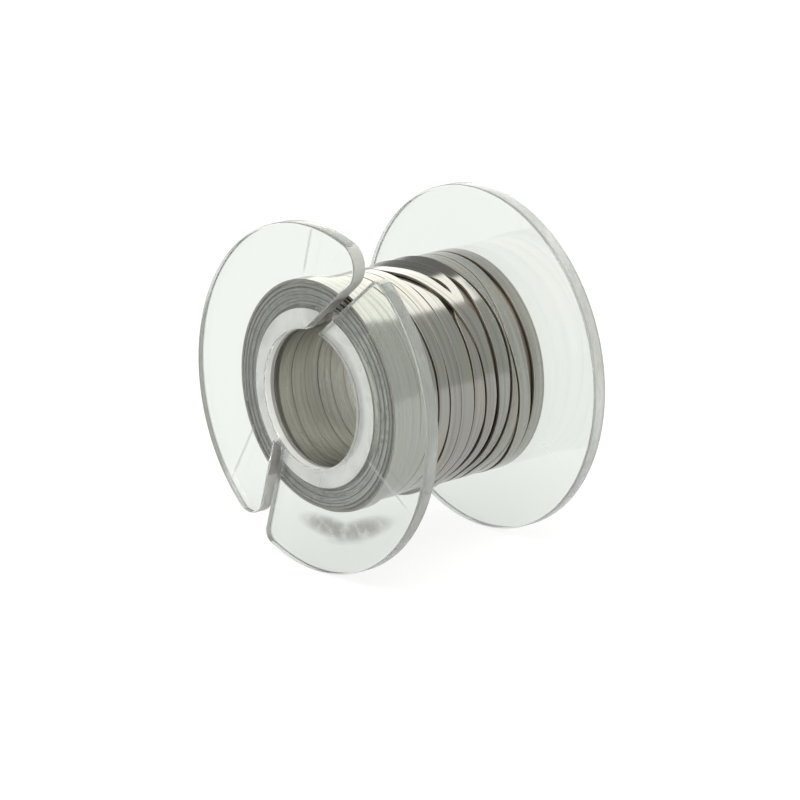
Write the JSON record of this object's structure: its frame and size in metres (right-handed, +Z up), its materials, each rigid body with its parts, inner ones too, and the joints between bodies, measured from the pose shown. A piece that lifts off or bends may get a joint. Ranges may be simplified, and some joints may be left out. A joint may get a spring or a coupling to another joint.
{
  "type": "wire spool",
  "caption": "Clear plastic two-flange spool with a slotted front flange and a bore, wound with bright flat ribbon wire and standing on its rims.",
  "frame": {"origin": "centre of the bore, midway between the outer faces of the two flanges", "axes": "+Y along the bore, from the slotted front flange to the plain back flange; +Z up, as the spool stands on its two rims; +X to the right, seen from the slotted flange"},
  "size_m": [0.034, 0.0224, 0.034],
  "materials": {
    "clear_flange": "clear moulded plastic, faint green-grey tint, fine scuffs",
    "clear_barrel": "clear moulded plastic tube",
    "ribbon_metal": "bright rolled flat ribbon with fine lengthwise streaks"
  },
  "bodies": {
    "root": {"front_flange": "clear_flange", "barrel": "clear_barrel", "back_flange": "clear_flange", "ribbon_core": "ribbon_metal", "ribbon_top_layer": "ribbon_metal"}
  },
  "joints": []
}
